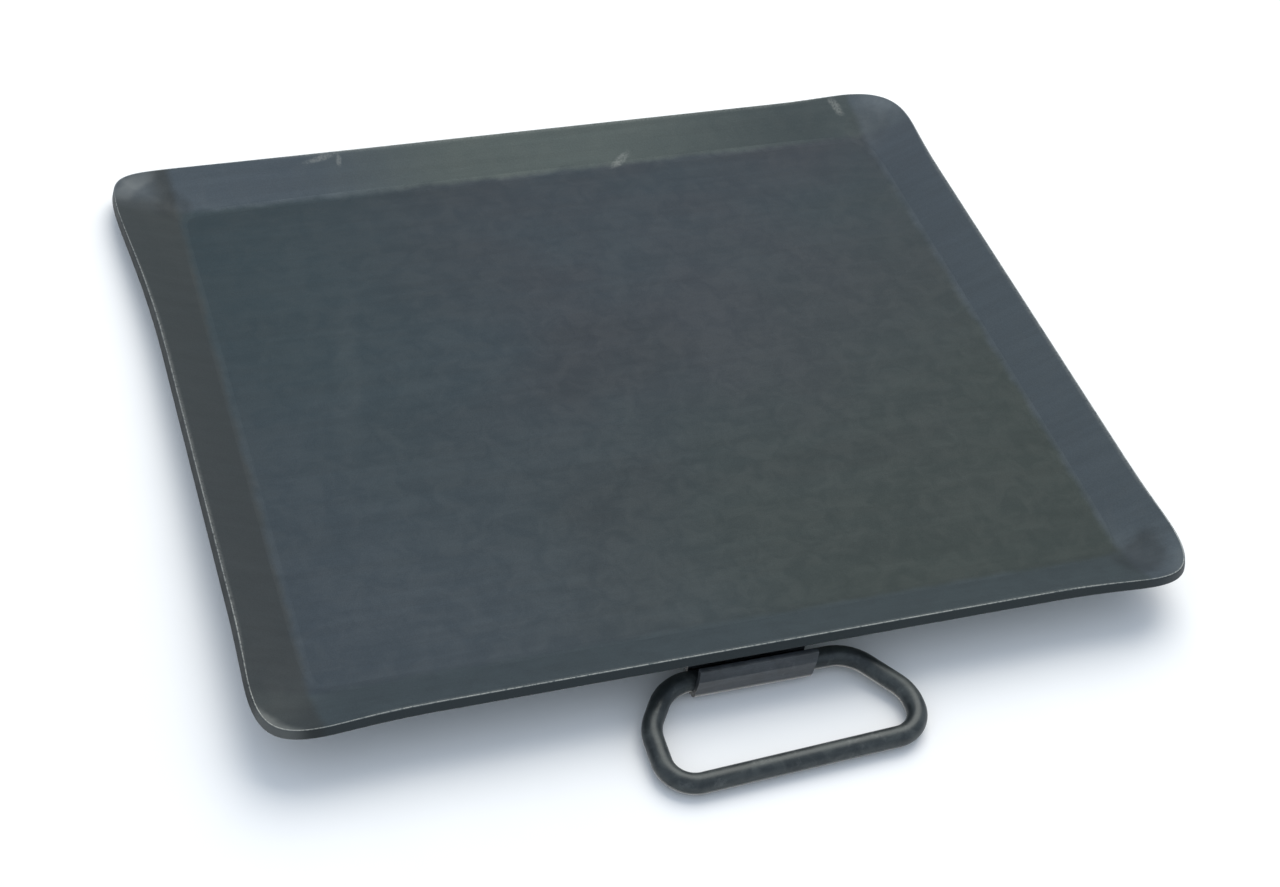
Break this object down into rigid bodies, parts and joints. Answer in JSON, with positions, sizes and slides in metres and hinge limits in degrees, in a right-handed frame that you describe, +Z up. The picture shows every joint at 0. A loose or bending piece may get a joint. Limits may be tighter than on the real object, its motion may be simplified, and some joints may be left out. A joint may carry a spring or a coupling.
{
  "type": "steel griddle plate",
  "caption": "Rectangular carbon-steel griddle plate with a shallow sloping rim, flared rounded corners and a rod handle that swings in a folded clip under one long side.",
  "frame": {"origin": "centre of the plate's flat bottom face", "axes": "+Z up, +X along the long side, -Y towards the handle"},
  "size_m": [0.417, 0.4076, 0.0303],
  "materials": {
    "plate_steel": "blue-grey mill scale, satin",
    "clip_steel": "blue-grey mill scale, satin",
    "rod_steel": "drawn bar with a dark grey-green oxide, satin",
    "weld_steel": "rippled weld bead, heat tinted"
  },
  "bodies": {
    "plate": {"griddle_plate": "plate_steel", "handle_clip": "clip_steel", "clip_welds": "weld_steel"},
    "handle": {"handle_rod": "rod_steel"}
  },
  "joints": [
    {"name": "handle_swing", "type": "hinge", "parent": "plate", "child": "handle", "pos_m": [0, -0.173, -0.0065], "axis": [1, 0, 0], "range_deg": [-59, 176]}
  ]
}
